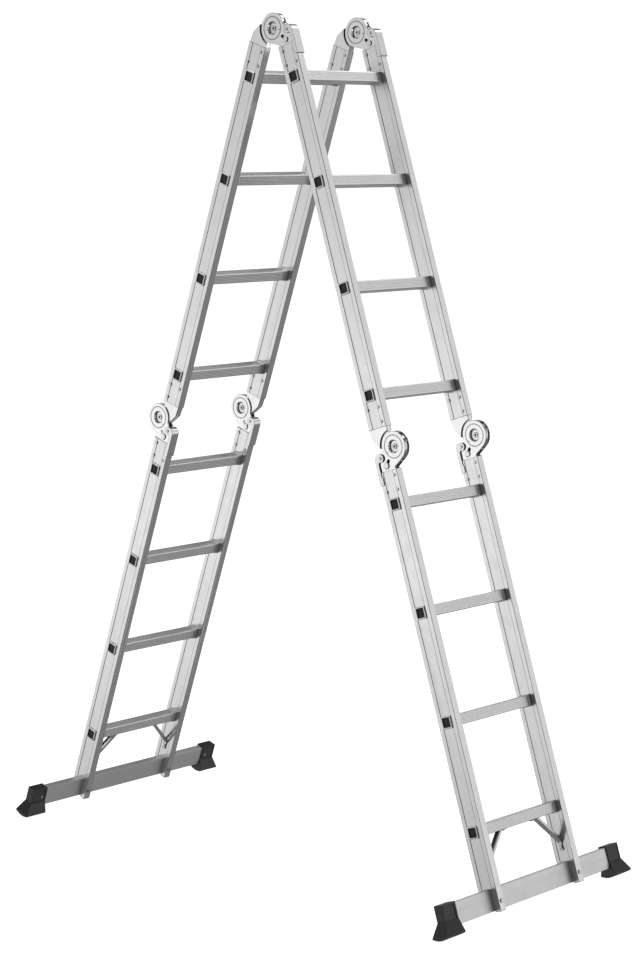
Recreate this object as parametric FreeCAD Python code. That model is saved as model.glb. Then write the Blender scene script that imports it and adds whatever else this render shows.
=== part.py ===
"""Multi position ladder as separate parts in millimetres: four sections, six locking hinges, two base bars.

World frame: origin on the floor in the middle of the ladder, +Z up, +X towards the front leg, +Y along the
rungs.

Leg frame, in which each leg is drawn: X runs down the leg from the top pivot, Y along the rungs, Z out of the
leg on its outer side, with Z = 0 in the middle of the stiles. The rear leg mirrors the front leg.

Hinge frame, in which each hinge arm is drawn: X runs along the arm from the pivot, Z = 0 is the middle of the
arm's stile, and the pivot is at Z = PIVOT_OFFSET on the side that the hinge folds to.
"""

import FreeCAD, Part
import math
import os

# Driving dimensions of the whole ladder
LEG_ANGLE = 18.6            # of each leg from upright, degrees
RUNG_PITCH = 280.0
RUNGS_PER_SECTION = 4
PIVOT_TO_RUNG = 141.0       # from a hinge pivot to the nearest rung, along the leg
PIVOT_OFFSET = 36.0         # from the middle of the stile to the pivot, out of the leg
PIVOT_TO_STILE_END = 55.0
TOP_PIVOT_HEIGHT = 2196.0   # above the floor, where it stands as a step ladder

# Stile
STILE_DEPTH = 60.0
STILE_THICKNESS = 22.0
STILE_WALL = 2.0
STILE_CENTRE = 161.0        # from the middle of the ladder, along the rungs
RECESS_DEPTH = 0.8
RECESS_WIDTH = 33.0
STILE_CORNER = 1.2

# Rung
RUNG_SIZE = 28.5
RUNG_WALL = 1.8
RUNG_CORNER = 3.0
RUNG_BEAD_SIZE = 32.0
RUNG_BEAD_LENGTH = 10.0
BEAD_ROUNDING = 1.0
RUNG_LIP_REACH = 3.5        # past the outer face of the stile
LIP_ROUNDING = 1.5
GROOVES_PER_FACE = 5
GROOVE_PITCH = 4.2
GROOVE_WIDTH = 1.4
GROOVE_DEPTH = 0.5
FIT_GAP = 0.05              # round every shank and rung in its hole

# Hinge
CHEEK_THICKNESS = 3.0
HINGE_THICKNESS = 18.0      # over both cheeks, a fit in the stile
CHEEK_RADIUS = 39.0
CHEEK_ROUNDING = 1.2
RING_RADIUS = 36.0
RING_GAP = 0.3              # between the ring and each cheek
STEP_RADIUS = 44.5          # where the side plates of the inner arm begin
HUB_RADIUS = 17.9
HUB_BORE_RADIUS = 18.0
DISH_RADIUS = 17.0
DISH_FLOOR_RADIUS = 14.5
DISH_FLOOR = 3.0            # from the middle of the hinge to the floor of the dish
EMBOSS_RADIUS = 30.0
EMBOSS_WIDTH = 1.6
EMBOSS_DEPTH = 0.6
DOT_DISTANCE = 25.0         # a small pressed dot, from the pivot
DOT_ANGLE = 63.0            # from the arm, degrees
DOT_RADIUS = 1.3
DOT_DEPTH = 1.0
ARM_LENGTH = 125.0          # from the pivot to the end of the plates inside the stile
ARM_HALF_DEPTH = 28.0
FOLDS = (0.0, 40.0, 90.0, 143.0, 180.0)   # at which a notch of the ring meets the lock pin, degrees
NOTCH_WIDTH = 9.0
NOTCH_DEPTH = 6.5

# Lock pin and its slot in the cheeks
PIN_PLACE = (42.0, 0.0)     # in the hinge frame
PIN_RADIUS = 3.9
PIN_HEAD_RADIUS = 8.3
PIN_HEAD_HEIGHT = 2.6
PIN_HEAD_ROUNDING = 1.6
PIN_TRAVEL = 5.0
SLOT_START = 37.0           # from the pivot
SLOT_GAP = 0.3

# Release lever
LEVER_PIVOT = (20.0, -13.0)  # in the hinge frame
LEVER_HEAD_RADIUS = 10.5
LEVER_BACK = -32.5
LEVER_BEND_RADIUS = 16.0
LEVER_BEND_AHEAD = 4.5      # of the lever's pivot, to the middle of its bend
LEVER_THROAT = 5.0          # from the pivot to the corner below the round head
LEVER_SWELL = (64.0, 72.0)  # where the flanges begin to deepen, and where they are deepest
LEVER_CORNER = 5.0          # of the flanges at the tail
LEVER_TAIL = 89.0
LEVER_NECK = 10.0           # depth of the flanges
LEVER_BULGE = 13.0
LEVER_SHEET = 1.5
LEVER_HALF_WIDTH = 12.8

# Fasteners
RIVET_SHANK = 3.0
RIVET_HEAD = 4.4
RIVET_HEAD_HEIGHT = 2.0
RIVET_ROUNDING = 1.4
RIVET_ACROSS = 18.5         # from the middle of the stile
RIVET_ROWS = (14.0, 51.5)   # from the end of the stile
PIVOT_RIVET_SHANK = 5.0
PIVOT_RIVET_HEAD = 8.0
PIVOT_RIVET_BORE = 3.0
PIVOT_RIVET_HEAD_HEIGHT = 2.0
BUTTON_ROUNDING = 1.2
SCREW_SHANK = 2.0
SCREW_HEAD = 4.2
SCREW_HEAD_HEIGHT = 1.8
SCREW_BITE = 2.0            # of the foot screw inside the bar
BOLT_HEAD = 5.5
BOLT_HEAD_HEIGHT = 3.0
BOLT_ROUNDING = 1.8
NUT_CORNER = 5.2
NUT_HEIGHT = 4.0

# Base bar, feet and braces
BAR_THICKNESS = 20.0
BAR_HEIGHT = 55.0
BAR_WALL = 2.0
BAR_HALF_LENGTH = 357.5
BAR_DROP = 171.5            # from the lowest rung to the middle of the bar
BAR_CORNER = 1.0
BOLT_BELOW_MIDDLE = 5.0     # of the bar
TONGUE_PAST_BAR = 3.0       # the stile's tongues reach this far below the bar
FOOT_INNER = 311.0
FOOT_OUTER = 362.0
FOOT_HALF_THICKNESS = 13.5
FOOT_TOP_WALL = 4.0
FOOT_CORNER = 1.5
FOOT_WAIST = 43.0           # from the top of the foot to its flare
FOOT_PANEL_DEPTH = 1.5
FOOT_PANEL_EDGE = 6.0
DIMPLE_RADIUS = 1.6
DIMPLE_DEPTH = 2.0
DIMPLE_ACROSS = 6.5
DIMPLE_ROWS = (16.0, 42.0)  # from the top of the foot
FOOT_SCREW_ALONG = 15.0     # from the inner end of the foot
FOOT_SCREW_ABOVE = 2.0      # the middle of the bar
SOLE_START = 75.0           # from the top of the foot to the end of its flare
SOLE_INNER = 309.0
SOLE_OUTER = 380.0
SOLE_HALF_WIDTH = 24.0
SOLE_RADIUS = 60.0
SOLE_FLAT = 0.4             # cut off the lowest part of the round sole
SOLE_RIBS = 5
SOLE_GROOVE = 2.4           # width and depth
BRACE_ON_RUNG = 70.0        # from the middle of the ladder
BRACE_WIDTH = 16.0
BRACE_DEPTH = 7.0
BRACE_SHEET = 2.0
BRACE_TAB = 21.0
BRACE_TAB_LAP = 3.0         # of each tab under the channel

# Derived places
STILE_INNER = STILE_CENTRE - STILE_THICKNESS / 2
STILE_OUTER = STILE_CENTRE + STILE_THICKNESS / 2
MID_PIVOT = 2 * PIVOT_TO_RUNG + (RUNGS_PER_SECTION - 1) * RUNG_PITCH
LOWEST_RUNG = 2 * MID_PIVOT - PIVOT_TO_RUNG
BAR_MIDDLE = LOWEST_RUNG + BAR_DROP
BAR_TOP = BAR_MIDDLE - BAR_HEIGHT / 2
BAR_BOTTOM = BAR_MIDDLE + BAR_HEIGHT / 2
BOLT_PLACE = BAR_MIDDLE + BOLT_BELOW_MIDDLE
FOOT_TOP = BAR_TOP - FOOT_TOP_WALL
FOOT_SCREW = (BAR_MIDDLE - FOOT_SCREW_ABOVE, FOOT_INNER + FOOT_SCREW_ALONG)
STILE_BOTTOM = BAR_BOTTOM + TONGUE_PAST_BAR
HINGE_HALF = HINGE_THICKNESS / 2
CHEEK_INNER = HINGE_HALF - CHEEK_THICKNESS
RING_HALF = CHEEK_INNER - RING_GAP
ORIGIN = FreeCAD.Vector(0, 0, 0)
X_AXIS = FreeCAD.Vector(1, 0, 0)
Y_AXIS = FreeCAD.Vector(0, 1, 0)
Z_AXIS = FreeCAD.Vector(0, 0, 1)
SIDES = {"left": -1, "right": 1}


def box(x, y, z):
    """A box from its three ranges."""
    corner = FreeCAD.Vector(x[0], y[0], z[0])
    return Part.makeBox(x[1] - x[0], y[1] - y[0], z[1] - z[0], corner)


def rod(place, radius, y):
    """A cylinder along Y at place (x, z)."""
    start = FreeCAD.Vector(place[0], y[0], place[1])
    return Part.makeCylinder(radius, y[1] - y[0], start, Y_AXIS)


def plate(start, moves, y):
    """An outline in X and Z, given a thickness along Y. A move is a point, or two points for an arc."""
    edges = []
    here = FreeCAD.Vector(start[0], y[0], start[1])
    closed = moves[-1][-1] == start
    for move in moves if closed else moves + [start]:
        points = move if isinstance(move[0], tuple) else (move,)
        there = [FreeCAD.Vector(x, y[0], z) for x, z in points]
        curve = Part.Arc(here, *there) if len(there) == 2 else Part.LineSegment(here, there[0])
        edges.append(curve.toShape())
        here = there[-1]
    face = Part.Face(Part.Wire(edges))
    return face.extrude(FreeCAD.Vector(0, y[1] - y[0], 0))


def button(place, axis, radius, height, rounding):
    """A round head with a rounded rim, standing on place and growing along axis."""
    head = Part.makeCylinder(radius, height, place, axis)
    top = place + axis * height
    rim = [edge for edge in head.Edges if (edge.CenterOfMass - top).Length < rounding / 100]
    return head.makeFillet(rounding, rim)


def both_faces(shape):
    """The shape and its mirror image in Y = 0."""
    return [shape, shape.mirror(ORIGIN, Y_AXIS)]


def rounded_square(size, corner, length):
    """A square bar with rounded corners along Y, from Y = 0."""
    bar = box((-size / 2, size / 2), (0, length), (-size / 2, size / 2))
    along = [edge for edge in bar.Edges if abs(edge.tangentAt(0).y) > 0.5]
    return bar.makeFillet(corner, along)


def rung():
    """One rung: a grooved square tube with a bead inside each stile and a lip spread over its outer face."""
    seat = STILE_OUTER - RECESS_DEPTH
    end = STILE_OUTER + RUNG_LIP_REACH
    tube = rounded_square(RUNG_SIZE, RUNG_CORNER, end).cut(grooves())
    bead = rounded_square(RUNG_BEAD_SIZE, RUNG_CORNER + 1, RUNG_BEAD_LENGTH)
    bead = bead.makeFillet(BEAD_ROUNDING, [edge for edge in bead.Edges if edge.CenterOfMass.y < 0.01])
    bead.translate(FreeCAD.Vector(0, STILE_INNER - RUNG_BEAD_LENGTH, 0))
    lip = rounded_square(RUNG_BEAD_SIZE, RUNG_CORNER + 1, end - seat)
    outer = [edge for edge in lip.Edges if edge.CenterOfMass.y > end - seat - 0.01]
    lip = lip.makeFillet(LIP_ROUNDING, outer)
    lip.translate(FreeCAD.Vector(0, seat, 0))
    bore = rounded_square(RUNG_SIZE - 2 * RUNG_WALL, RUNG_CORNER - 1, end)
    half = tube.fuse([bead, lip]).cut(bore)
    return half.fuse(half.mirror(ORIGIN, Y_AXIS)).removeSplitter()


def grooves():
    """The shallow grooves along all four faces of one half of a rung, up to its bead."""
    length = STILE_INNER - RUNG_BEAD_LENGTH
    cuts = []
    for turn in range(4):
        for number in range(GROOVES_PER_FACE):
            middle = (number - (GROOVES_PER_FACE - 1) / 2) * GROOVE_PITCH
            across = (middle - GROOVE_WIDTH / 2, middle + GROOVE_WIDTH / 2)
            groove = box(across, (0, length), (RUNG_SIZE / 2 - GROOVE_DEPTH, RUNG_SIZE))
            groove.rotate(ORIGIN, Y_AXIS, 90 * turn)
            cuts.append(groove)
    return cuts


def rung_hole(x):
    """The square hole through one stile for the rung at x."""
    hole = rounded_square(RUNG_SIZE + 2 * FIT_GAP, RUNG_CORNER, 2 * STILE_THICKNESS)
    hole.translate(FreeCAD.Vector(x, -STILE_THICKNESS, 0))
    return hole


def stile(start, end, rungs, rivets):
    """A hollow stile from start to end with a shallow recess on both wide faces and holes for its rungs."""
    half = STILE_THICKNESS / 2
    depth = STILE_DEPTH / 2
    body = box((start, end), (-half, half), (-depth, depth))
    body = body.makeFillet(STILE_CORNER, [edge for edge in body.Edges if abs(edge.tangentAt(0).x) > 0.5])
    recess = box((start, end), (half - RECESS_DEPTH, half), (-RECESS_WIDTH / 2, RECESS_WIDTH / 2))
    inside = (STILE_WALL - half, half - STILE_WALL)
    hollow = box((start, end), inside, (STILE_WALL - depth, depth - STILE_WALL))
    cuts = both_faces(recess) + [hollow] + [rung_hole(x) for x in rungs]
    cuts += [rod(place, RIVET_SHANK + FIT_GAP, (-STILE_THICKNESS, STILE_THICKNESS)) for place in rivets]
    return body.cut(cuts)


def arm_rivets():
    """The places of the three rivets that hold a stile to its hinge plates, in the hinge frame."""
    near, far = [PIVOT_TO_STILE_END + row for row in RIVET_ROWS]
    return [(near, RIVET_ACROSS), (far, RIVET_ACROSS), (far, -RIVET_ACROSS)]


def pin_direction():
    """The unit direction from the hinge pivot to the lock pin, in the hinge frame."""
    x = PIN_PLACE[0]
    z = PIN_PLACE[1] - PIVOT_OFFSET
    length = math.hypot(x, z)
    return x / length, z / length


def slot():
    """The slot for the lock pin, through both cheeks."""
    x, z = pin_direction()
    half = PIN_RADIUS + SLOT_GAP
    pin_distance = math.hypot(PIN_PLACE[0], PIN_PLACE[1] - PIVOT_OFFSET)
    first = SLOT_START + half
    last = pin_distance + PIN_TRAVEL + SLOT_GAP
    through = (-HINGE_THICKNESS, HINGE_THICKNESS)
    ends = [rod((distance, 0), half, through) for distance in (first, last)]
    shape = box((first, last), through, (-half, half)).fuse(ends)
    shape.rotate(ORIGIN, Y_AXIS, -math.degrees(math.atan2(z, x)))
    shape.translate(FreeCAD.Vector(0, 0, PIVOT_OFFSET))
    return shape


def cheek():
    """One cheek of the outer arm: a disc with a dished hub and an arm that goes into the stile."""
    pivot = (0.0, PIVOT_OFFSET)
    thickness = (CHEEK_INNER, HINGE_HALF)
    disc = button(FreeCAD.Vector(0, CHEEK_INNER, PIVOT_OFFSET), Y_AXIS, CHEEK_RADIUS, CHEEK_THICKNESS,
                  CHEEK_ROUNDING)
    arm = plate((0.0, PIVOT_OFFSET - CHEEK_RADIUS + 0.1), [
        (8.0, -8.5), (12.5, -12.0), ((12.9, -20.0), (17.0, -25.8)), (24.0, -ARM_HALF_DEPTH),
        (ARM_LENGTH, -ARM_HALF_DEPTH), (ARM_LENGTH, ARM_HALF_DEPTH),
        (PIVOT_TO_STILE_END, ARM_HALF_DEPTH), (50.0, 25.5), (34.3, 54.4), (10.0, 40.0),
    ], thickness)
    hub = rod(pivot, HUB_RADIUS, (0, CHEEK_INNER))
    floor = FreeCAD.Vector(0, DISH_FLOOR, PIVOT_OFFSET)
    dish = Part.makeCone(DISH_FLOOR_RADIUS, DISH_RADIUS, HINGE_HALF - DISH_FLOOR, floor, Y_AXIS)
    emboss = rod(pivot, EMBOSS_RADIUS, (HINGE_HALF - EMBOSS_DEPTH, HINGE_HALF))
    emboss = emboss.cut(rod(pivot, EMBOSS_RADIUS - EMBOSS_WIDTH, (0, HINGE_THICKNESS)))
    dot_angle = math.radians(DOT_ANGLE)
    dot_place = (DOT_DISTANCE * math.cos(dot_angle), PIVOT_OFFSET - DOT_DISTANCE * math.sin(dot_angle))
    dot = rod(dot_place, DOT_RADIUS, (HINGE_HALF - DOT_DEPTH, HINGE_HALF))
    places = arm_rivets() + [LEVER_PIVOT]
    holes = [rod(place, RIVET_SHANK + FIT_GAP, (0, HINGE_THICKNESS)) for place in places]
    holes.append(rod(pivot, PIVOT_RIVET_SHANK + FIT_GAP, (0, HINGE_THICKNESS)))
    return disc.fuse([arm, hub]).removeSplitter().cut([dish, emboss, dot, slot()] + holes)


def inner_outline(y):
    """The plate of the inner arm between two values of Y."""
    return plate((0.0, -5.5), [
        (29.0, -25.5), (PIVOT_TO_STILE_END, -ARM_HALF_DEPTH),
        (ARM_LENGTH, -ARM_HALF_DEPTH), (ARM_LENGTH, ARM_HALF_DEPTH), (34.0, ARM_HALF_DEPTH),
    ], y)


def inner_plates():
    """The inner arm: a notched ring plate between two side plates that are flush with the cheeks."""
    pivot = (0.0, PIVOT_OFFSET)
    through = (-HINGE_THICKNESS, HINGE_THICKNESS)
    holes = [rod(place, RIVET_SHANK + FIT_GAP, through) for place in arm_rivets()]
    cuts = [rod(pivot, HUB_BORE_RADIUS, through)]
    pin_angle = math.degrees(math.atan2(PIVOT_OFFSET - PIN_PLACE[1], PIN_PLACE[0]))
    reach = (RING_RADIUS - NOTCH_DEPTH, RING_RADIUS + 1)
    for fold in FOLDS:
        notch = box(reach, through, (-NOTCH_WIDTH / 2, NOTCH_WIDTH / 2))
        notch.rotate(ORIGIN, Y_AXIS, fold - 180 - pin_angle)
        notch.translate(FreeCAD.Vector(0, 0, PIVOT_OFFSET))
        cuts.append(notch)
    ring = rod(pivot, RING_RADIUS, (-RING_HALF, RING_HALF)).cut(cuts)
    arm = inner_outline((-RING_HALF, RING_HALF)).cut(rod(pivot, (HUB_BORE_RADIUS + RING_RADIUS) / 2, through))
    core = ring.fuse(arm.cut(cuts)).removeSplitter().cut(holes)
    side = inner_outline((RING_HALF, HINGE_HALF)).cut([rod(pivot, STEP_RADIUS, through)] + holes)
    return Part.makeCompound([core] + both_faces(side))


def lever():
    """The release lever: a pressed channel over the edge of the stile, with a round head on its pivot."""
    x, z = LEVER_PIVOT
    radius = LEVER_HEAD_RADIUS
    bend = (x + LEVER_BEND_AHEAD, LEVER_BACK + LEVER_BEND_RADIUS)
    neck = LEVER_BACK + LEVER_NECK
    bulge = LEVER_BACK + LEVER_BULGE
    diagonal = math.sqrt(0.5)
    tip = diagonal * LEVER_BEND_RADIUS
    bend_end = bend[0] - math.sqrt(LEVER_BEND_RADIUS ** 2 - (z - bend[1]) ** 2)
    outside = (-LEVER_HALF_WIDTH, LEVER_HALF_WIDTH)
    throat = x + math.sqrt(radius ** 2 - LEVER_THROAT ** 2)
    swell_start, swell_end = LEVER_SWELL
    cut_back = (1 - diagonal) * LEVER_CORNER

    def outline(y):
        return plate((bend_end, z), [
            (x - radius, z), ((x, z + radius), (throat, z - LEVER_THROAT)),
            ((throat + 2, neck + 2), (throat + 8, neck)), (swell_start, neck),
            (swell_end, bulge), (LEVER_TAIL - LEVER_CORNER, bulge),
            ((LEVER_TAIL - cut_back, bulge - cut_back), (LEVER_TAIL, bulge - LEVER_CORNER)),
            (LEVER_TAIL, LEVER_BACK + 1),
            (LEVER_TAIL - 1, LEVER_BACK), (bend[0], LEVER_BACK),
            ((bend[0] - tip, bend[1] - tip), (bend_end, z)),
        ], y)

    inside = LEVER_HALF_WIDTH - LEVER_SHEET
    sheet_tip = tip - diagonal * LEVER_SHEET
    past = LEVER_HALF_WIDTH
    core = plate((LEVER_TAIL + 1, LEVER_BACK + LEVER_SHEET), [
        (bend[0], LEVER_BACK + LEVER_SHEET),
        ((bend[0] - sheet_tip, bend[1] - sheet_tip), (bend_end + LEVER_SHEET, z - 1)),
        (bend_end - LEVER_THROAT, z - 1), (bend_end - LEVER_THROAT, past), (LEVER_TAIL + 1, past),
    ], (-inside, inside))
    hole = rod(LEVER_PIVOT, RIVET_SHANK + FIT_GAP, (-2 * LEVER_HALF_WIDTH, 2 * LEVER_HALF_WIDTH))
    return outline(outside).cut([core, hole])


def lock_pin():
    """The lock pin: a shank through both cheeks with a button head on each end."""
    x, z = PIN_PLACE
    reach = HINGE_HALF + SLOT_GAP
    shank = rod(PIN_PLACE, PIN_RADIUS, (-reach, reach))
    head = button(FreeCAD.Vector(x, reach, z), Y_AXIS, PIN_HEAD_RADIUS, PIN_HEAD_HEIGHT,
                  PIN_HEAD_ROUNDING)
    return shank.fuse(both_faces(head)).removeSplitter()


def rivet(place, seat):
    """A rivet along Y with a domed head beyond seat on each side."""
    shank = rod(place, RIVET_SHANK, (-seat, seat))
    start = FreeCAD.Vector(place[0], seat, place[1])
    head = button(start, Y_AXIS, RIVET_HEAD, RIVET_HEAD_HEIGHT, RIVET_ROUNDING)
    return shank.fuse(both_faces(head)).removeSplitter()


def lever_rivet():
    """The lever's pivot: a shank with a collar between each cheek and the lever's flange."""
    flange = LEVER_HALF_WIDTH - LEVER_SHEET
    collar = rod(LEVER_PIVOT, RIVET_HEAD, (HINGE_HALF, flange - SLOT_GAP / 2))
    return rivet(LEVER_PIVOT, LEVER_HALF_WIDTH + FIT_GAP).fuse(both_faces(collar)).removeSplitter()


def pivot_rivet():
    """The hollow rivet that holds the two dished hubs together."""
    place = (0.0, PIVOT_OFFSET)
    shank = rod(place, PIVOT_RIVET_SHANK, (-DISH_FLOOR, DISH_FLOOR))
    start = FreeCAD.Vector(0, DISH_FLOOR, PIVOT_OFFSET)
    head = button(start, Y_AXIS, PIVOT_RIVET_HEAD, PIVOT_RIVET_HEAD_HEIGHT, BUTTON_ROUNDING)
    bore = rod(place, PIVOT_RIVET_BORE, (-HINGE_THICKNESS, HINGE_THICKNESS))
    return shank.fuse(both_faces(head)).removeSplitter().cut(bore)


def base_bar():
    """The flat tube across the bottom of a leg, with holes for the stile bolts and the foot screws."""
    long = (-BAR_HALF_LENGTH, BAR_HALF_LENGTH)
    tube = box((BAR_TOP, BAR_BOTTOM), long, (-BAR_THICKNESS / 2, BAR_THICKNESS / 2))
    tube = tube.makeFillet(BAR_CORNER, [edge for edge in tube.Edges if abs(edge.tangentAt(0).y) > 0.5])
    hollow = box((BAR_TOP + BAR_WALL, BAR_BOTTOM - BAR_WALL), long,
                 (BAR_WALL - BAR_THICKNESS / 2, BAR_THICKNESS / 2 - BAR_WALL))
    holes = []
    for side in SIDES.values():
        bolt = FreeCAD.Vector(BOLT_PLACE, side * STILE_CENTRE, -BAR_THICKNESS)
        holes.append(Part.makeCylinder(RIVET_SHANK + FIT_GAP, 2 * BAR_THICKNESS, bolt, Z_AXIS))
        screw = FreeCAD.Vector(FOOT_SCREW[0], side * FOOT_SCREW[1], -BAR_THICKNESS)
        holes.append(Part.makeCylinder(SCREW_SHANK + FIT_GAP, BAR_THICKNESS, screw, Z_AXIS))
    return tube.cut([hollow] + holes)


def bar_notch():
    """What is cut from the end of a stile so that its tongues straddle the base bar, with its bolt hole."""
    half = BAR_THICKNESS / 2
    wide = (-STILE_THICKNESS, STILE_THICKNESS)
    notch = box((BAR_TOP, STILE_BOTTOM + 1), wide, (-half, half))
    corner = 3.0
    along = [edge for edge in notch.Edges if abs(edge.tangentAt(0).y) > 0.5]
    notch = notch.makeFillet(BAR_CORNER, [edge for edge in along if edge.CenterOfMass.x < BAR_TOP + 1])
    mouth = plate((STILE_BOTTOM + 1, half + corner), [
        (STILE_BOTTOM + 1, -half - corner), (STILE_BOTTOM - corner, -half), (STILE_BOTTOM - corner, half),
    ], wide)
    start = FreeCAD.Vector(BOLT_PLACE, 0, -STILE_DEPTH)
    bolt = Part.makeCylinder(RIVET_SHANK + FIT_GAP, 2 * STILE_DEPTH, start, Z_AXIS)
    return [notch, mouth, bolt]


def bar_bolt():
    """The bolt through the stile's tongues and the base bar, with a round head and a hexagon nut."""
    face = STILE_DEPTH / 2
    shank = Part.makeCylinder(RIVET_SHANK, 2 * face, FreeCAD.Vector(BOLT_PLACE, 0, -face), Z_AXIS)
    head = button(FreeCAD.Vector(BOLT_PLACE, 0, face), Z_AXIS, BOLT_HEAD, BOLT_HEAD_HEIGHT, BOLT_ROUNDING)
    corners = []
    for turn in range(7):
        angle = math.radians(60 * turn)
        corner = FreeCAD.Vector(math.cos(angle), math.sin(angle), 0) * NUT_CORNER
        corners.append(corner + FreeCAD.Vector(BOLT_PLACE, 0, -face))
    nut = Part.Face(Part.makePolygon(corners)).extrude(FreeCAD.Vector(0, 0, -NUT_HEIGHT))
    return shank.fuse([head, nut]).removeSplitter()


def foot_screw():
    """The screw on the inner face of a foot, into the base bar."""
    seat = FOOT_HALF_THICKNESS - FOOT_PANEL_DEPTH
    start = FreeCAD.Vector(*FOOT_SCREW, -seat)
    length = seat - BAR_THICKNESS / 2 + BAR_WALL + SCREW_BITE
    shank = Part.makeCylinder(SCREW_SHANK, length, start, Z_AXIS)
    head = button(start, Z_AXIS * -1, SCREW_HEAD, SCREW_HEAD_HEIGHT, BUTTON_ROUNDING)
    return shank.fuse(head).removeSplitter()


def rectangle(x, y, z):
    """A closed rectangle across X, from its place on X and its ranges of Y and Z."""
    corners = [(y[0], z[0]), (y[1], z[0]), (y[1], z[1]), (y[0], z[1]), (y[0], z[0])]
    return Part.makePolygon([FreeCAD.Vector(x, *corner) for corner in corners])


def sole_middle():
    """Place along the leg of the centre of the round sole, whose flat stands on the floor."""
    angle = math.radians(LEG_ANGLE)
    height = SOLE_RADIUS - SOLE_FLAT
    return (TOP_PIVOT_HEIGHT + PIVOT_OFFSET * math.sin(angle) - height) / math.cos(angle)


def foot():
    """A rubber cap over the end of the base bar, at +Y, with a flared round sole and a flat on the floor."""
    half = FOOT_HALF_THICKNESS
    middle = sole_middle()
    bottom = middle + SOLE_RADIUS
    waist = FOOT_TOP + FOOT_WAIST
    sole_top = FOOT_TOP + SOLE_START
    cap = box((FOOT_TOP, BAR_BOTTOM + FOOT_TOP_WALL), (FOOT_INNER, FOOT_OUTER), (-half, half))
    rims = [edge for edge in cap.Edges if edge.CenterOfMass.x < FOOT_TOP + 0.01]
    rims += [edge for edge in cap.Edges if edge.CenterOfMass.y > FOOT_OUTER - 0.01
             and abs(edge.tangentAt(0).x) > 0.5]
    cap = cap.makeFillet(FOOT_CORNER, rims)
    wide = (-SOLE_HALF_WIDTH, SOLE_HALF_WIDTH)
    flare = Part.makeLoft([rectangle(waist, (FOOT_INNER, FOOT_OUTER), (-half, half)),
                           rectangle(sole_top, (SOLE_INNER, SOLE_OUTER), wide)], True, True)
    sole = box((sole_top, bottom + 1), (SOLE_INNER, SOLE_OUTER), wide)
    round_end = rod((middle, 0.0), SOLE_RADIUS, (SOLE_INNER, SOLE_OUTER))
    above = box((FOOT_TOP, middle), (SOLE_INNER, SOLE_OUTER), (-SOLE_RADIUS, SOLE_RADIUS))
    cuts = [box((BAR_TOP, BAR_BOTTOM), (0, BAR_HALF_LENGTH), (-BAR_THICKNESS / 2, BAR_THICKNESS / 2))]
    cuts += sole_grooves(middle) + foot_panels(waist) + foot_dimples()
    screw = FreeCAD.Vector(*FOOT_SCREW, -BAR_THICKNESS)
    cuts.append(Part.makeCylinder(SCREW_SHANK + FIT_GAP, BAR_THICKNESS, screw, Z_AXIS))
    cuts.append(floor_block())
    return cap.fuse([flare, sole]).common(round_end.fuse(above)).cut(cuts).removeSplitter()


def foot_panels(waist):
    """The shallow panel in each wide face of a foot."""
    wide = (FOOT_INNER + FOOT_PANEL_EDGE, FOOT_OUTER - FOOT_PANEL_EDGE / 2)
    deep = (FOOT_HALF_THICKNESS - FOOT_PANEL_DEPTH, FOOT_HALF_THICKNESS)
    panel = box((FOOT_TOP + FOOT_PANEL_EDGE, waist), wide, deep)
    return [panel, panel.mirror(ORIGIN, Z_AXIS)]


def foot_dimples():
    """Four dimples in the outer end of a foot."""
    start = FOOT_OUTER - DIMPLE_DEPTH
    return [rod((FOOT_TOP + row, across), DIMPLE_RADIUS, (start, SOLE_OUTER))
            for row in DIMPLE_ROWS for across in (-DIMPLE_ACROSS, DIMPLE_ACROSS)]


def sole_grooves(middle):
    """Grooves along Y between the ribs of the curved sole."""
    cuts = []
    half = SOLE_GROOVE / 2
    for number in range(1, SOLE_RIBS):
        z = (2 * number / SOLE_RIBS - 1) * SOLE_HALF_WIDTH
        groove = box((SOLE_RADIUS - SOLE_GROOVE, SOLE_RADIUS + 1), (SOLE_INNER, SOLE_OUTER), (-half, half))
        groove.rotate(ORIGIN, Y_AXIS, -math.degrees(math.asin(z / SOLE_RADIUS)))
        groove.translate(FreeCAD.Vector(middle, 0, 0))
        cuts.append(groove)
    return cuts


def floor_block():
    """The space below the floor round a foot at +Y, in the leg frame."""
    block = box((0, TOP_PIVOT_HEIGHT), (0, 2 * SOLE_OUTER), (-SOLE_RADIUS, 0))
    block.translate(FreeCAD.Vector(0, 0, -TOP_PIVOT_HEIGHT))
    block.rotate(ORIGIN, Y_AXIS, LEG_ANGLE - 90)
    block.translate(FreeCAD.Vector(0, 0, -PIVOT_OFFSET))
    return block


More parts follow.
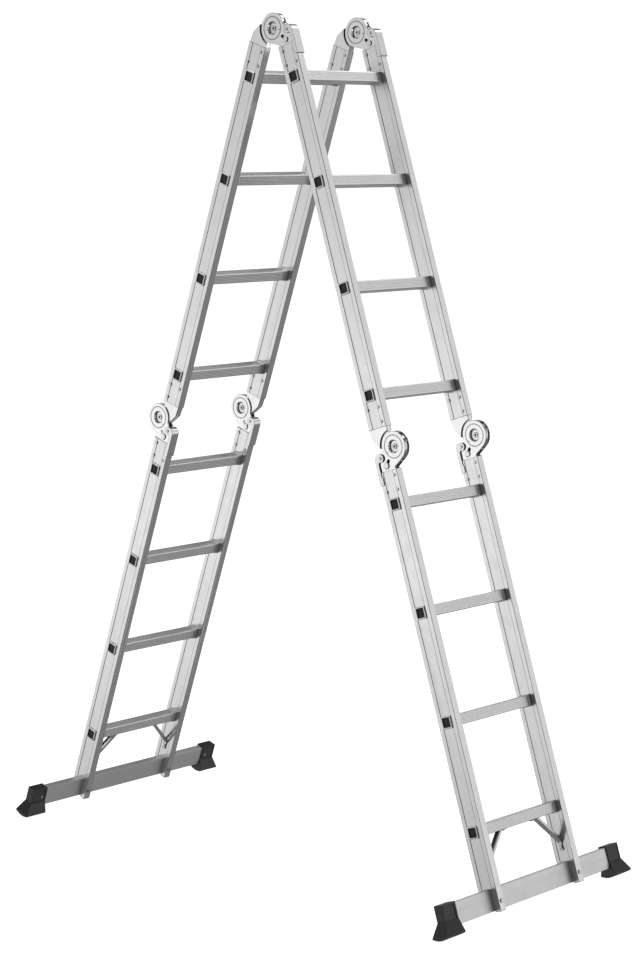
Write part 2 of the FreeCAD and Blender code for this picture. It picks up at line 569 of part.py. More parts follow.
def brace():
    """The strut from the lowest rung to the stile at +Y: a channel at 45 degrees with a tab at each end."""
    rung_face = LOWEST_RUNG + RUNG_SIZE / 2
    reach = STILE_INNER - BRACE_ON_RUNG
    half = BRACE_WIDTH / 2
    long = (-reach, reach * 2)
    inside = (BRACE_SHEET - half, half - BRACE_SHEET)
    channel = box((-BRACE_DEPTH, 0), long, (-half, half)).cut(box((-BRACE_DEPTH, -BRACE_SHEET), long, inside))
    channel.rotate(ORIGIN, Z_AXIS, -45)
    channel.translate(FreeCAD.Vector(rung_face, BRACE_ON_RUNG, 0))
    channel = channel.common(box((rung_face, rung_face + 2 * reach), (0, STILE_INNER), (-half, half)))
    across = (BRACE_TAB_LAP - half, half - BRACE_TAB_LAP)
    rung_tab = box((rung_face, rung_face + BRACE_SHEET),
                   (BRACE_ON_RUNG - BRACE_TAB, BRACE_ON_RUNG + BRACE_TAB_LAP), across)
    stile_tab = box((rung_face + reach - BRACE_TAB_LAP, rung_face + reach + BRACE_TAB),
                    (STILE_INNER - BRACE_SHEET, STILE_INNER), across)
    on_rung, on_stile = brace_rivet_places()
    drill = 2 * BRACE_SHEET
    rung_start = FreeCAD.Vector(rung_face - drill / 2, on_rung, 0)
    stile_start = FreeCAD.Vector(on_stile, STILE_INNER - 1.5 * drill, 0)
    holes = [Part.makeCylinder(SCREW_SHANK + FIT_GAP, 2 * drill, rung_start, X_AXIS),
             Part.makeCylinder(SCREW_SHANK + FIT_GAP, 2 * drill, stile_start, Y_AXIS)]
    return channel.fuse([rung_tab, stile_tab]).removeSplitter().cut(holes)


def brace_rivet_places():
    """Y of the rivet into the rung and X of the rivet into the stile."""
    rung_face = LOWEST_RUNG + RUNG_SIZE / 2
    middle = BRACE_TAB / 2 + 1
    return BRACE_ON_RUNG - middle, rung_face + STILE_INNER - BRACE_ON_RUNG + middle


def brace_rivets():
    """The two blind rivets of the brace at +Y."""
    rung_face = LOWEST_RUNG + RUNG_SIZE / 2
    on_rung, on_stile = brace_rivet_places()
    rivets = []
    for place, axis in ((FreeCAD.Vector(rung_face + BRACE_SHEET, on_rung, 0), X_AXIS),
                        (FreeCAD.Vector(on_stile, STILE_INNER - BRACE_SHEET, 0), Y_AXIS * -1)):
        head = button(place, axis, RIVET_HEAD, RIVET_HEAD_HEIGHT, RIVET_ROUNDING)
        shank = Part.makeCylinder(SCREW_SHANK, BRACE_SHEET + RUNG_WALL, place, axis * -1)
        rivets.append(head.fuse(shank).removeSplitter())
    return rivets


def on_top_arm(shape):
    """From the hinge frame to the top end of a leg, where hinges fold to the inner side."""
    placed = shape.copy()
    placed.rotate(ORIGIN, X_AXIS, 180)
    return placed


def on_lower_arm(shape):
    """From the hinge frame to the top end of a lower section, where hinges fold to the outer side."""
    placed = shape.copy()
    placed.translate(FreeCAD.Vector(MID_PIVOT, 0, 0))
    return placed


def on_upper_arm(shape):
    """From the hinge frame to the bottom end of an upper section, where hinges fold to the outer side."""
    placed = shape.copy()
    placed.rotate(ORIGIN, Z_AXIS, 180)
    placed.translate(FreeCAD.Vector(MID_PIVOT, 0, 0))
    return placed


def in_world(shape, leg):
    """From the leg frame to the world."""
    placed = shape.copy()
    placed.translate(FreeCAD.Vector(0, 0, PIVOT_OFFSET))
    placed.rotate(ORIGIN, Y_AXIS, 90 - LEG_ANGLE)
    placed.translate(FreeCAD.Vector(0, 0, TOP_PIVOT_HEIGHT))
    return placed if leg == "front" else placed.mirror(ORIGIN, X_AXIS)


def beside(shape, side):
    """Moved from the middle of the ladder to the stile on one side."""
    placed = shape.copy()
    placed.translate(FreeCAD.Vector(0, side * STILE_CENTRE, 0))
    return placed


def to_side(shape, side):
    """A shape drawn at +Y, mirrored where the side is left."""
    return shape.copy() if side > 0 else shape.mirror(ORIGIN, Y_AXIS)


def save(name, shapes, leg):
    """Write one node; each shape in it is a closed solid or a group of them."""
    solids = [solid for shape in shapes for solid in in_world(shape, leg).Solids]
    for solid in solids:
        if not solid.isValid() or not solid.isClosed():
            raise ValueError(f"{name} is not a valid closed solid")
    shape = solids[0] if len(solids) == 1 else Part.makeCompound(solids)
    shape.exportStep(f"parts/{name}.step")


def hinge_places(place_arm, points):
    """Points of the hinge frame carried to the leg frame by one of the on_..._arm functions."""
    vertices = [place_arm(Part.Vertex(x, 0, z)) for x, z in points]
    return [(vertex.Point.x, vertex.Point.z) for vertex in vertices]


def rungs_of(start):
    """Places along the leg of the rungs of the section whose upper pivot is at start."""
    return [start + PIVOT_TO_RUNG + number * RUNG_PITCH for number in range(RUNGS_PER_SECTION)]


def build_upper(leg, one_rung, arm_rivet):
    """One upper section: stiles, rungs and the rivets of its hinge arms."""
    rungs = rungs_of(0)
    rivets = hinge_places(on_top_arm, arm_rivets()) + hinge_places(on_upper_arm, arm_rivets())
    side_stile = stile(PIVOT_TO_STILE_END, MID_PIVOT - PIVOT_TO_STILE_END, rungs, rivets)
    fasteners = []
    for name, side in SIDES.items():
        save(f"{leg}_upper_stile_{name}", [beside(side_stile, side)], leg)
        fasteners += [beside(moved(arm_rivet, x, z), side) for x, z in rivets]
        if leg == "front":
            fasteners += [beside(on_top_arm(piece), side) for piece in (pivot_rivet(), lever_rivet())]
    save_rungs(f"{leg}_upper", rungs, one_rung, leg)
    save(f"{leg}_upper_fasteners", fasteners, leg)


def build_lower(leg, one_rung, arm_rivet):
    """One lower section: stiles, rungs, base bar, feet, braces and its fasteners."""
    rungs = rungs_of(MID_PIVOT)
    rivets = hinge_places(on_lower_arm, arm_rivets())
    side_stile = stile(MID_PIVOT + PIVOT_TO_STILE_END, STILE_BOTTOM, rungs, rivets).cut(bar_notch())
    on_rung, on_stile = brace_rivet_places()
    brace_hole = Part.makeCylinder(SCREW_SHANK + FIT_GAP, STILE_THICKNESS / 2,
                                   FreeCAD.Vector(on_stile, -STILE_THICKNESS / 2, 0), Y_AXIS)
    side_stile = side_stile.cut(brace_hole)
    fasteners = []
    braces = []
    for name, side in SIDES.items():
        save(f"{leg}_lower_stile_{name}", [beside(to_side(side_stile, side), side)], leg)
        save(f"{leg}_foot_{name}", [to_side(foot(), side)], leg)
        braces.append(to_side(brace(), side))
        fasteners += [beside(moved(arm_rivet, x, z), side) for x, z in rivets]
        fasteners += [beside(on_lower_arm(piece), side) for piece in (pivot_rivet(), lever_rivet())]
        fasteners.append(beside(bar_bolt(), side))
        fasteners.append(to_side(foot_screw(), side))
        fasteners += [to_side(piece, side) for piece in brace_rivets()]
    save(f"{leg}_braces", braces, leg)
    save(f"{leg}_base_bar", [base_bar()], leg)
    holes = [Part.makeCylinder(SCREW_SHANK + FIT_GAP, RUNG_SIZE / 2, FreeCAD.Vector(0, y, 0), X_AXIS)
             for y in (-on_rung, on_rung)]
    save_rungs(f"{leg}_lower", rungs[:-1], one_rung, leg)
    save(f"{leg}_lower_rung_{RUNGS_PER_SECTION}", [moved(one_rung.cut(holes), rungs[-1], 0)], leg)
    save(f"{leg}_lower_fasteners", fasteners, leg)


def moved(shape, x, z):
    """A copy moved in the plane of the stile's side."""
    placed = shape.copy()
    placed.translate(FreeCAD.Vector(x, 0, z))
    return placed


def save_rungs(section, places, one_rung, leg):
    """Write the rungs of a section, numbered from its upper end."""
    for number, place in enumerate(places, start=1):
        save(f"{section}_rung_{number}", [moved(one_rung, place, 0)], leg)


def build_hinges():
    """The six hinges: cheeks, lever and lock pin on the outer arm, ring and side plates on the inner arm."""
    outer = {"cheeks": Part.makeCompound(both_faces(cheek())), "lever": lever(), "lock_pin": lock_pin()}
    inner = inner_plates()
    for name, side in SIDES.items():
        for part_name, shape in outer.items():
            save(f"top_{part_name}_{name}", [beside(on_top_arm(shape), side)], "front")
        save(f"top_inner_plates_{name}", [beside(on_top_arm(inner), side)], "rear")
        for leg in ("front", "rear"):
            for part_name, shape in outer.items():
                save(f"{leg}_mid_{part_name}_{name}", [beside(on_lower_arm(shape), side)], leg)
            save(f"{leg}_mid_inner_plates_{name}", [beside(on_upper_arm(inner), side)], leg)


os.makedirs("parts", exist_ok=True)
full_rung = rung()
stile_rivet = rivet((0.0, 0.0), STILE_THICKNESS / 2)
build_hinges()
for one_leg in ("front", "rear"):
    build_upper(one_leg, full_rung, stile_rivet)
    build_lower(one_leg, full_rung, stile_rivet)
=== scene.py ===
"""Looks of the multi position ladder around its CAD frame: materials, small details, light and camera."""

import math

import bmesh
import bpy
from mathutils import Matrix, Vector


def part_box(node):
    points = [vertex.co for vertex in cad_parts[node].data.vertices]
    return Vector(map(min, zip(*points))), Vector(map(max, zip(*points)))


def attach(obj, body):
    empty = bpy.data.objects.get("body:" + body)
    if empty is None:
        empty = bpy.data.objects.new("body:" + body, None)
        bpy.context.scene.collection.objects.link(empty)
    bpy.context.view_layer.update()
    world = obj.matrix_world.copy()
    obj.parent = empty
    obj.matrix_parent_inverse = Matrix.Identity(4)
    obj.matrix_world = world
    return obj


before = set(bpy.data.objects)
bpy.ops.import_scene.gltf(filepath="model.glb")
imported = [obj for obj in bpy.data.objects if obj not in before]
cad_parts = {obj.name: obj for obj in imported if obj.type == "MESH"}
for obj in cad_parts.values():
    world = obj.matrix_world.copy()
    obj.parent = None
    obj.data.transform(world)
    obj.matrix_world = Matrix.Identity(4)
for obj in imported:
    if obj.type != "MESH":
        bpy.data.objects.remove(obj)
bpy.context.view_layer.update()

MM = 0.001

# The ladder
LEG_ANGLE = math.radians(18.6)  # each leg from upright
RUNGS_PER_SECTION = 4
ALONG_LEG = 0                   # axes of the frame that lies along a leg
ALONG_RUNG = 1

# Sockets of a Mix node, by number because their names repeat
MIX_FACTOR = 0
VALUE_A = 2
VALUE_B = 3
VALUE_OUT = 0
COLOUR_A = 6
COLOUR_B = 7
COLOUR_OUT = 2

# Painted shade: dark lines in creases, and along edges where they stand in for the dark reflection on
# rounded edges, by how open a place is: the range over which a line fades out to nothing
EDGE_LINE = 1.0 * MM            # width of the dark line along an edge, under the thinnest wall
CREASE_FADE = (0.55, 0.95)
EDGE_FADE = (0.75, 0.98)

# Ranges of a noise value that are stretched over the whole of a colour or a roughness
SHADE_SPREAD = (0.35, 0.65)
ROUGHNESS_SPREAD = (0.3, 0.7)
DUST_SPREAD = (0.35, 0.8)

# Noise drawn out along the extrusion: how fast it changes across it and along it, per metre
FINE_LINES = (1400.0, 3.0)
WIDE_BANDS = (160.0, 1.2)

# Width over which a crease is darkened with painted shade
ALUMINIUM_CREASE = 3.0 * MM
PRESSED_CREASE = 5.0 * MM
RUBBER_CREASE = 3.0 * MM

# Extruded aluminium. rounding is the radius that edges are shaded with, and in_crease and on_edge are the
# shares of the colour that are left under the painted shade in creases and along edges
ALUMINIUM = {
    "stile": {
        "along": ALONG_LEG, "dark": (0.84, 0.84, 0.85), "light": (0.95, 0.95, 0.95),
        "roughness": (0.18, 0.28), "rounding": 2.0 * MM, "in_crease": 0.2, "on_edge": 0.1},
    "rung": {
        "along": ALONG_RUNG, "dark": (0.84, 0.84, 0.84), "light": (0.94, 0.94, 0.94),
        "roughness": (0.26, 0.36), "rounding": 1.0 * MM, "in_crease": 0.9, "on_edge": 0.9},
    "bar": {
        "along": ALONG_RUNG, "dark": (0.78, 0.77, 0.77), "light": (0.90, 0.89, 0.89),
        "roughness": (0.42, 0.54), "rounding": 1.5 * MM, "in_crease": 0.5, "on_edge": 0.3},
}

# Pressed parts and fasteners
PRESSED_METAL = {
    "brace_aluminium": {
        "dark": (0.74, 0.74, 0.75), "light": (0.86, 0.86, 0.87),
        "roughness": (0.28, 0.42), "rounding": 0.5 * MM},
    "hinge_zinc": {
        "dark": (0.92, 0.92, 0.93), "light": (0.98, 0.98, 0.985),
        "roughness": (0.10, 0.18), "rounding": 0.5 * MM},
    "lever_zinc": {
        "dark": (0.80, 0.80, 0.81), "light": (0.92, 0.92, 0.93),
        "roughness": (0.14, 0.24), "rounding": 0.5 * MM},
    "fastener_zinc": {
        "dark": (0.66, 0.66, 0.67), "light": (0.84, 0.84, 0.85),
        "roughness": (0.16, 0.28), "rounding": 0.3 * MM},
}

FOOT_RUBBER = {"dark": (0.008, 0.008, 0.008), "dusty": (0.050, 0.048, 0.047)}
# Near-black painted shade for the dark inside of the open rung ends
RUNG_END_SHADE = {"dark": (0.002, 0.002, 0.002), "dusty": (0.010, 0.010, 0.010)}

# Near-black plug shapes in the open ends of the rungs, painted shade that stands in for the dark inside of
# the tubes, as rings of half width, corner radius and depth below the rung's end, in mm
CORNER_STEPS = 4
END_SHADE_RINGS = (
    (12.2, 1.8, 15.0),  # back end of the skirt
    (12.2, 1.8, 2.0),   # outer edge of the rim
    (11.8, 1.6, 1.5),
    (10.8, 1.5, 1.5),   # inner edge of the rim
    (10.3, 1.3, 2.8),   # floor of the sunk panel
    (5.4, 1.2, 2.8),    # foot of the raised middle
    (4.9, 1.0, 2.2),
)

# Studio light: a dim room with soft panels. Each lies towards (x, y) on the horizon, between two heights,
# which are the Z of a direction, and fades out over the edge
ROOM_LEVEL = 0.2
PANELS = (
    # wide, on the left
    {"way": (-0.7, -0.7), "bottom": -0.35, "top": 0.2, "edge": 0.1, "level": 0.4},
    # low strip before it
    {"way": (-0.7, -0.7), "bottom": -0.2, "top": -0.1, "edge": 0.08, "level": 0.6},
    # wide, behind
    {"way": (0.6, 0.8), "bottom": -0.3, "top": 0.5, "edge": 0.1, "level": 0.5},
    # on the far left
    {"way": (-0.9, 0.45), "bottom": -0.4, "top": 0.3, "edge": 0.1, "level": 0.6},
    # on the right
    {"way": (1.0, 0.0), "bottom": -0.4, "top": 0.3, "edge": 0.1, "level": 0.6},
)
PANEL_FADE = (0.7, 0.9)         # of a panel's sides, by how far a direction leans towards it
DARK_WAY = (0.67, -0.74)        # the side of the room that is left dark
DARK_FADE = (0.55, 0.95)
DARK_SHARE = 0.2                # of the light that is left in its middle
BACKDROP_LEVEL = 1.05           # of the pale background

LAMP_TARGET = (0, 0, 1.1)
LAMP_SIZE = 2.5
LAMP_POWER = 40.0
KEY_PLACE = (-1.5, -3.0, 5.5)
FILL_PLACE = (1.5, 3.0, 5.5)

FLOOR_SIZE = 60.0
FLOOR_COLOUR = (0.95, 0.95, 0.95)
FLOOR_GLOW = 0.92               # lifts the floor to the level of the background

# Camera: its place in mm, its angles in degrees, lens and sensor in mm
CAMERA_PLACE = (4329, -4691, 1945)
CAMERA_BEARING = 42.56
CAMERA_HEIGHT = 8.31
CAMERA_ROLL = 0.42
CAMERA_LENS = 90.4
CAMERA_SENSOR = 36.0
CAMERA_REACH = 100.0            # how far it sees, in metres


# --- Node helpers ---------------------------------------------------------------------------------

class Nodes:
    """A short way to write a node tree."""

    def __init__(self, tree):
        self.tree = tree
        self.nodes = tree.nodes

    def add(self, kind, **settings):
        """A node of that kind; a setting is a property of the node."""
        node = self.nodes.new(kind)
        for name, value in settings.items():
            setattr(node, name, value)
        return node

    def link(self, source, target):
        self.tree.links.new(source, target)

    def mapped(self, vector, rotation, scale):
        """The vector turned, then scaled."""
        turn = self.add("ShaderNodeMapping")
        turn.inputs["Rotation"].default_value = rotation
        self.link(vector, turn.inputs["Vector"])
        stretch = self.add("ShaderNodeMapping")
        stretch.inputs["Scale"].default_value = scale
        self.link(turn.outputs["Vector"], stretch.inputs["Vector"])
        return stretch.outputs["Vector"]

    def noise(self, vector, scale, detail, roughness=0.6):
        node = self.add("ShaderNodeTexNoise")
        node.inputs["Scale"].default_value = scale
        node.inputs["Detail"].default_value = detail
        node.inputs["Roughness"].default_value = roughness
        self.link(vector, node.inputs["Vector"])
        return node.outputs["Fac"]

    def drawn_noise(self, vector, turn, along, scales):
        """Noise drawn out along one axis of a frame turned about Y."""
        across_scale, along_scale = scales
        scale = [across_scale] * 3
        scale[along] = along_scale
        return self.noise(self.mapped(vector, (0, turn, 0), scale), scale=1.0, detail=2.0)

    def remap(self, value, old, new):
        """The value taken from the old range to the new one, held at its ends."""
        node = self.add("ShaderNodeMapRange")
        for name, number in zip(("From Min", "From Max", "To Min", "To Max"), (*old, *new)):
            node.inputs[name].default_value = number
        self.link(value, node.inputs["Value"])
        return node.outputs["Result"]

    def math(self, operation, first, second):
        node = self.add("ShaderNodeMath", operation=operation)
        for socket, value in zip(node.inputs, (first, second)):
            if isinstance(value, (int, float)):
                socket.default_value = value
            else:
                self.link(value, socket)
        return node.outputs[0]

    def blend(self, first, second, share):
        """That share of the first value, and the rest of the second."""
        part = self.math("MULTIPLY", first, share)
        rest = self.math("MULTIPLY", second, 1 - share)
        return self.math("ADD", part, rest)

    def tint(self, factor, dark, light):
        """A colour between dark and light by factor."""
        node = self.add("ShaderNodeMix", data_type="RGBA")
        node.inputs[COLOUR_A].default_value = (*dark, 1)
        node.inputs[COLOUR_B].default_value = (*light, 1)
        self.link(factor, node.inputs[MIX_FACTOR])
        return node.outputs[COLOUR_OUT]

    def bump(self, height, distance, strength, normal):
        node = self.add("ShaderNodeBump")
        node.inputs["Distance"].default_value = distance
        node.inputs["Strength"].default_value = strength
        self.link(height, node.inputs["Height"])
        self.link(normal, node.inputs["Normal"])
        return node.outputs["Normal"]

    def openness(self, distance, inside=False):
        """How open a place is, from 0 to 1: low in a crease, or on a sharp edge when inside."""
        node = self.add("ShaderNodeAmbientOcclusion", samples=6, inside=inside, only_local=True)
        node.inputs["Distance"].default_value = distance
        return node.outputs["AO"]

    def colour_with_painted_shade(self, colour, crease, in_crease, on_edge):
        """The colour with painted shade: dark lines in creases of that width, and dark lines along edges
        that stand in for the dark reflection on rounded edges.

        in_crease and on_edge are the shares of the colour that are left in each.
        """
        # Painted shade in creases, from ambient occlusion
        crease_shade = self.remap(self.openness(crease), CREASE_FADE, (in_crease, 1.0))
        # Painted dark lines along edges, standing in for the dark reflection on rounded edges
        rim = self.remap(self.openness(EDGE_LINE, inside=True), EDGE_FADE, (on_edge, 1.0))
        both = self.math("MULTIPLY", crease_shade, rim)
        node = self.add("ShaderNodeMix", data_type="RGBA", blend_type="MULTIPLY")
        node.inputs[MIX_FACTOR].default_value = 1.0
        self.link(colour, node.inputs[COLOUR_A])
        self.link(both, node.inputs[COLOUR_B])
        return node.outputs[COLOUR_OUT]

    def round_edges(self, radius):
        """The normal as if edges had that radius."""
        node = self.add("ShaderNodeBevel", samples=4)
        node.inputs["Radius"].default_value = radius
        return node.outputs["Normal"]


def new_material(name):
    """A material, its node helper and its principled shader."""
    material = bpy.data.materials.new(name)
    material.use_nodes = True
    kit = Nodes(material.node_tree)
    shader = material.node_tree.nodes["Principled BSDF"]
    return material, kit, shader


def object_vector(kit):
    """Coordinates in the object's own frame, which moves with its body."""
    return kit.add("ShaderNodeTexCoord").outputs["Object"]


# --- Materials ------------------------------------------------------------------------------------

def extruded_aluminium(name, turn, along, dark, light, roughness, rounding, in_crease, on_edge):
    """Satin aluminium drawn through a die: fine lines and slow shade changes along one axis."""
    material, kit, shader = new_material(name)
    place = object_vector(kit)
    fine = kit.drawn_noise(place, turn, along, FINE_LINES)
    wide = kit.drawn_noise(place, turn, along, WIDE_BANDS)
    blotch = kit.noise(place, scale=26.0, detail=4.0, roughness=0.55)
    lines = kit.blend(fine, wide, share=0.55)
    shade = kit.blend(lines, blotch, share=0.7)
    colour = kit.tint(kit.remap(shade, SHADE_SPREAD, (0, 1)), dark, light)
    # Painted shade: darker creases and dark lines along edges
    colour_with_painted_shade = kit.colour_with_painted_shade(colour, ALUMINIUM_CREASE, in_crease, on_edge)
    kit.link(colour_with_painted_shade, shader.inputs["Base Color"])
    low, high = roughness
    kit.link(kit.remap(shade, ROUGHNESS_SPREAD, (high, low)), shader.inputs["Roughness"])
    shader.inputs["Metallic"].default_value = 1.0
    soft = kit.round_edges(rounding)
    kit.link(kit.bump(lines, distance=0.03 * MM, strength=0.35, normal=soft), shader.inputs["Normal"])
    return material


def pressed_metal(name, dark, light, roughness, rounding):
    """Bright pressed metal: a mottled sheen, handling marks, a fine grain and soft edges."""
    material, kit, shader = new_material(name)
    place = object_vector(kit)
    mottle = kit.noise(place, scale=140.0, detail=4.0)
    cloud = kit.noise(place, scale=22.0, detail=3.0, roughness=0.5)
    grain = kit.noise(place, scale=1800.0, detail=2.0)
    shade = kit.blend(mottle, cloud, share=0.5)
    colour = kit.tint(kit.remap(shade, SHADE_SPREAD, (0, 1)), dark, light)
    # Painted shade: creases darkened to black, dark lines along edges
    colour_with_painted_shade = kit.colour_with_painted_shade(colour, PRESSED_CREASE, in_crease=0.0, on_edge=0.2)
    kit.link(colour_with_painted_shade, shader.inputs["Base Color"])
    low, high = roughness
    kit.link(kit.remap(shade, ROUGHNESS_SPREAD, (high, low)), shader.inputs["Roughness"])
    shader.inputs["Metallic"].default_value = 1.0
    soft = kit.round_edges(rounding)
    kit.link(kit.bump(grain, distance=0.02 * MM, strength=0.25, normal=soft), shader.inputs["Normal"])
    return material


def black_rubber_and_end_shade(name, dark, dusty):
    """Moulded black rubber of the feet, also used for the near-black painted shade in the rung ends: a fine
    grain, dusty greyer patches and a dull sheen.
    """
    material, kit, shader = new_material(name)
    place = object_vector(kit)
    grain = kit.noise(place, scale=1500.0, detail=3.0, roughness=0.65)
    dust = kit.noise(place, scale=260.0, detail=5.0, roughness=0.7)
    colour = kit.tint(kit.remap(dust, DUST_SPREAD, (0, 1)), dark, dusty)
    # Painted shade: darker creases and dark lines along edges
    colour_with_painted_shade = kit.colour_with_painted_shade(colour, RUBBER_CREASE, in_crease=0.2, on_edge=0.4)
    kit.link(colour_with_painted_shade, shader.inputs["Base Color"])
    kit.link(kit.remap(dust, ROUGHNESS_SPREAD, (0.34, 0.52)), shader.inputs["Roughness"])
    shader.inputs["Specular IOR Level"].default_value = 0.55
    soft = kit.round_edges(0.8 * MM)
    kit.link(kit.bump(grain, distance=0.08 * MM, strength=0.5, normal=soft), shader.inputs["Normal"])
    return material


def make_materials():
    """Every material of the CAD nodes, by name. Each leg has its own aluminium, lined along the leg."""
    materials = {}
    for leg, turn in (("front", LEG_ANGLE - math.pi / 2), ("rear", math.pi / 2 - LEG_ANGLE)):
        for kind, look in ALUMINIUM.items():
            name = f"{leg}_{kind}_aluminium"
            materials[name] = extruded_aluminium(name, turn, **look)
    for name, look in PRESSED_METAL.items():
        materials[name] = pressed_metal(name, **look)
    materials["foot_rubber"] = black_rubber_and_end_shade("foot_rubber", **FOOT_RUBBER)
    return materials


def material_name(node_name):
    """The material of the CAD node with that name."""
    leg = "rear" if node_name.startswith("rear") else "front"
    kinds = (
        ("stile", f"{leg}_stile_aluminium"),
        ("rung", f"{leg}_rung_aluminium"),
        ("base_bar", f"{leg}_bar_aluminium"),
        ("braces", "brace_aluminium"),
        ("foot", "foot_rubber"),
        ("fasteners", "fastener_zinc"),
        ("lever", "lever_zinc"),
        ("lock_pin", "lever_zinc"),
    )
    for word, choice in kinds:
        if word in node_name:
            return choice
    return "hinge_zinc"


def dress_nodes():
    """Every CAD node gets the material of its kind."""
    materials = make_materials()
    for name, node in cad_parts.items():
        for slot in node.material_slots:
            slot.material = materials[material_name(name)]


# --- Painted shade in the rung ends: near-black plug shapes ---------------------------------------

def ring_points(half, corner):
    """A rounded square around the origin, anticlockwise, as points in its plane."""
    points = []
    reach = (half - corner) * math.sqrt(2)
    for quarter in range(4):
        middle = math.pi / 2 * quarter + math.pi / 4
        for step in range(CORNER_STEPS + 1):
            angle = math.pi / 2 * (quarter + step / CORNER_STEPS)
            across = reach * math.cos(middle) + corner * math.cos(angle)
            up = reach * math.sin(middle) + corner * math.sin(angle)
            points.append((across, up))
    return points


def add_end_shade_piece(mesh, end, across, up, inward):
    """One plug-shaped piece of painted shade in a bmesh: rings of points joined by faces and closed at both
    ends.
    """
    rings = []
    for half, corner, depth in END_SHADE_RINGS:
        middle = end + inward * depth * MM
        points = [middle + (across * a + up * b) * MM for a, b in ring_points(half, corner)]
        rings.append([mesh.verts.new(point) for point in points])
    for back, front in zip(rings, rings[1:]):
        for number in range(len(back)):
            after = (number + 1) % len(back)
            mesh.faces.new((back[number], back[after], front[after], front[number]))
    mesh.faces.new(rings[0])
    mesh.faces.new(rings[-1])


def make_rung_end_shade():
    """Near-black plug shapes in both ends of every rung, painted shade for the dark inside of the open
    tubes, one piece to each section, placed by the rungs' own boxes.
    """
    # Painted shade: near-black pieces stand in for the dark inside of the open rung tubes
    material = black_rubber_and_end_shade("rung_end_shade_black", **RUNG_END_SHADE)
    for leg, side in (("front", 1), ("rear", -1)):
        across = Vector((side * math.sin(LEG_ANGLE), 0, -math.cos(LEG_ANGLE)))
        up = Vector((side * math.cos(LEG_ANGLE), 0, math.sin(LEG_ANGLE)))
        for section in ("upper", "lower"):
            mesh = bmesh.new()
            for number in range(RUNGS_PER_SECTION):
                low, high = (Vector(corner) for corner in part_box(f"{leg}_{section}_rung_{number + 1}"))
                middle = (low + high) / 2
                for y, inward in ((low.y, 1), (high.y, -1)):
                    add_end_shade_piece(mesh, Vector((middle.x, y, middle.z)), across, up, Vector((0, inward, 0)))
            bmesh.ops.recalc_face_normals(mesh, faces=mesh.faces)
            data = bpy.data.meshes.new(f"{leg}_{section}_rung_end_shade_pieces")
            mesh.to_mesh(data)
            mesh.free()
            data.materials.append(material)
            piece = bpy.data.objects.new(data.name, data)
            bpy.context.scene.collection.objects.link(piece)
            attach(piece, f"{leg}_{section}")


# --- Stage ----------------------------------------------------------------------------------------

def make_floor():
    """A plain pale floor, left out of reflections, in which metal shows the dim room instead."""
    bpy.ops.mesh.primitive_plane_add(size=FLOOR_SIZE, location=(0, 0, 0))
    floor = bpy.context.object
    floor.name = "floor"
    material, kit, shader = new_material("floor_white")
    shader.inputs["Base Color"].default_value = (*FLOOR_COLOUR, 1)
    shader.inputs["Roughness"].default_value = 0.9
    shader.inputs["Specular IOR Level"].default_value = 0.0
    shader.inputs["Emission Color"].default_value = (1, 1, 1, 1)
    shader.inputs["Emission Strength"].default_value = FLOOR_GLOW
    floor.data.materials.append(material)
    floor.visible_glossy = False


def toward(kit, direction, way):
    """How far a direction leans towards way, (x, y) on the horizon."""
    x, y = way
    along_x = kit.math("MULTIPLY", direction["X"], x)
    along_y = kit.math("MULTIPLY", direction["Y"], y)
    return kit.math("ADD", along_x, along_y)


def panel(kit, direction, way, bottom, top, edge, level):
    """The light of one soft-edged panel in that direction."""
    side = kit.remap(toward(kit, direction, way), PANEL_FADE, (0, level))
    above = kit.remap(direction["Z"], (bottom - edge, bottom + edge), (0, 1))
    below = kit.remap(direction["Z"], (top - edge, top + edge), (1, 0))
    return kit.math("MULTIPLY", side, kit.math("MULTIPLY", above, below))


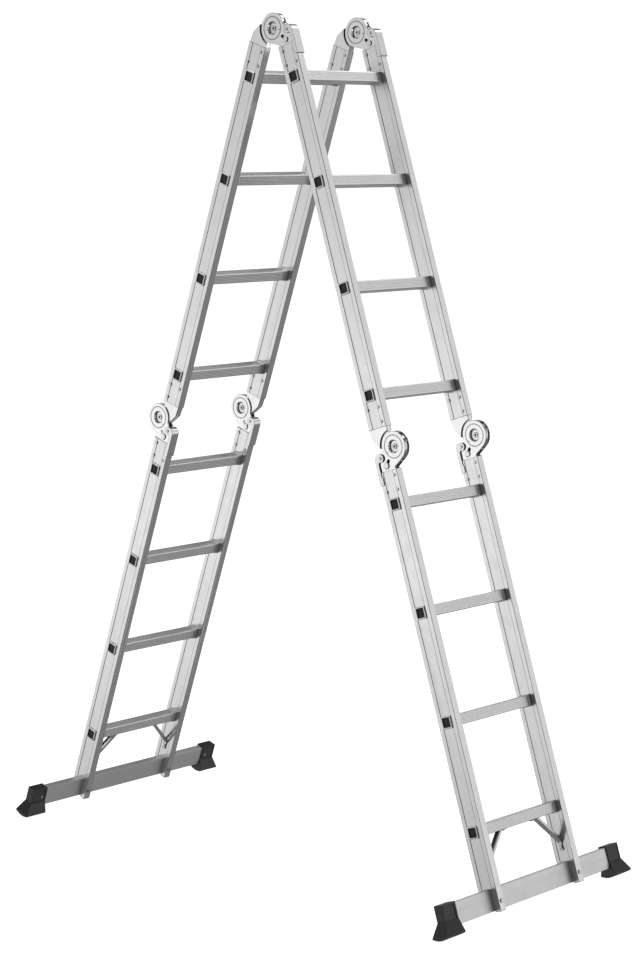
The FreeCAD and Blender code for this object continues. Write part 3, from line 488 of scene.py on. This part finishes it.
def make_world():
    """Plain soft studio: a dim room, soft panels of light and one side left dark."""
    world = bpy.data.worlds.new("studio")
    world.use_nodes = True
    bpy.context.scene.world = world
    kit = Nodes(world.node_tree)
    background = world.node_tree.nodes["Background"]
    split = kit.add("ShaderNodeSeparateXYZ")
    kit.link(kit.add("ShaderNodeTexCoord").outputs["Generated"], split.inputs["Vector"])
    direction = split.outputs

    level = ROOM_LEVEL
    for values in PANELS:
        level = kit.math("ADD", panel(kit, direction, **values), level)
    shade = kit.remap(toward(kit, direction, DARK_WAY), DARK_FADE, (1.0, DARK_SHARE))
    level = kit.math("MULTIPLY", level, shade)

    mix = kit.add("ShaderNodeMix", data_type="FLOAT")
    kit.link(kit.add("ShaderNodeLightPath").outputs["Is Camera Ray"], mix.inputs[MIX_FACTOR])
    kit.link(level, mix.inputs[VALUE_A])
    mix.inputs[VALUE_B].default_value = BACKDROP_LEVEL
    kit.link(mix.outputs[VALUE_OUT], background.inputs["Strength"])
    background.inputs["Color"].default_value = (1, 1, 1, 1)


def area_light(name, place):
    """A soft square lamp at place, aimed at the middle of the ladder."""
    data = bpy.data.lights.new(name, "AREA")
    data.size = LAMP_SIZE
    data.energy = LAMP_POWER
    lamp = bpy.data.objects.new(name, data)
    lamp.location = place
    aim = Vector(LAMP_TARGET) - Vector(place)
    lamp.rotation_euler = aim.to_track_quat("-Z", "Y").to_euler()
    bpy.context.scene.collection.objects.link(lamp)


def make_camera():
    """The camera at the photograph's viewing angle."""
    place = Vector(CAMERA_PLACE) * MM
    bearing, height, roll = (math.radians(angle) for angle in (CAMERA_BEARING, CAMERA_HEIGHT, CAMERA_ROLL))
    flat = math.cos(height)
    back = Vector((math.sin(bearing) * flat, -math.cos(bearing) * flat, math.sin(height)))
    right = Vector((math.cos(bearing), math.sin(bearing), 0))
    up = back.cross(right)
    turned_right = right * math.cos(roll) + up * math.sin(roll)
    turned_up = up * math.cos(roll) - right * math.sin(roll)
    data = bpy.data.cameras.new("camera")
    data.lens = CAMERA_LENS
    data.sensor_width = CAMERA_SENSOR
    data.sensor_fit = "AUTO"
    data.clip_end = CAMERA_REACH
    camera = bpy.data.objects.new("camera", data)
    turn = Matrix((turned_right, turned_up, back)).transposed().to_4x4()
    camera.matrix_world = Matrix.Translation(place) @ turn
    bpy.context.scene.collection.objects.link(camera)
    bpy.context.scene.camera = camera


dress_nodes()
make_rung_end_shade()
make_floor()
make_world()
area_light("key", KEY_PLACE)
area_light("fill", FILL_PLACE)
make_camera()
bpy.context.scene.view_settings.view_transform = "Standard"
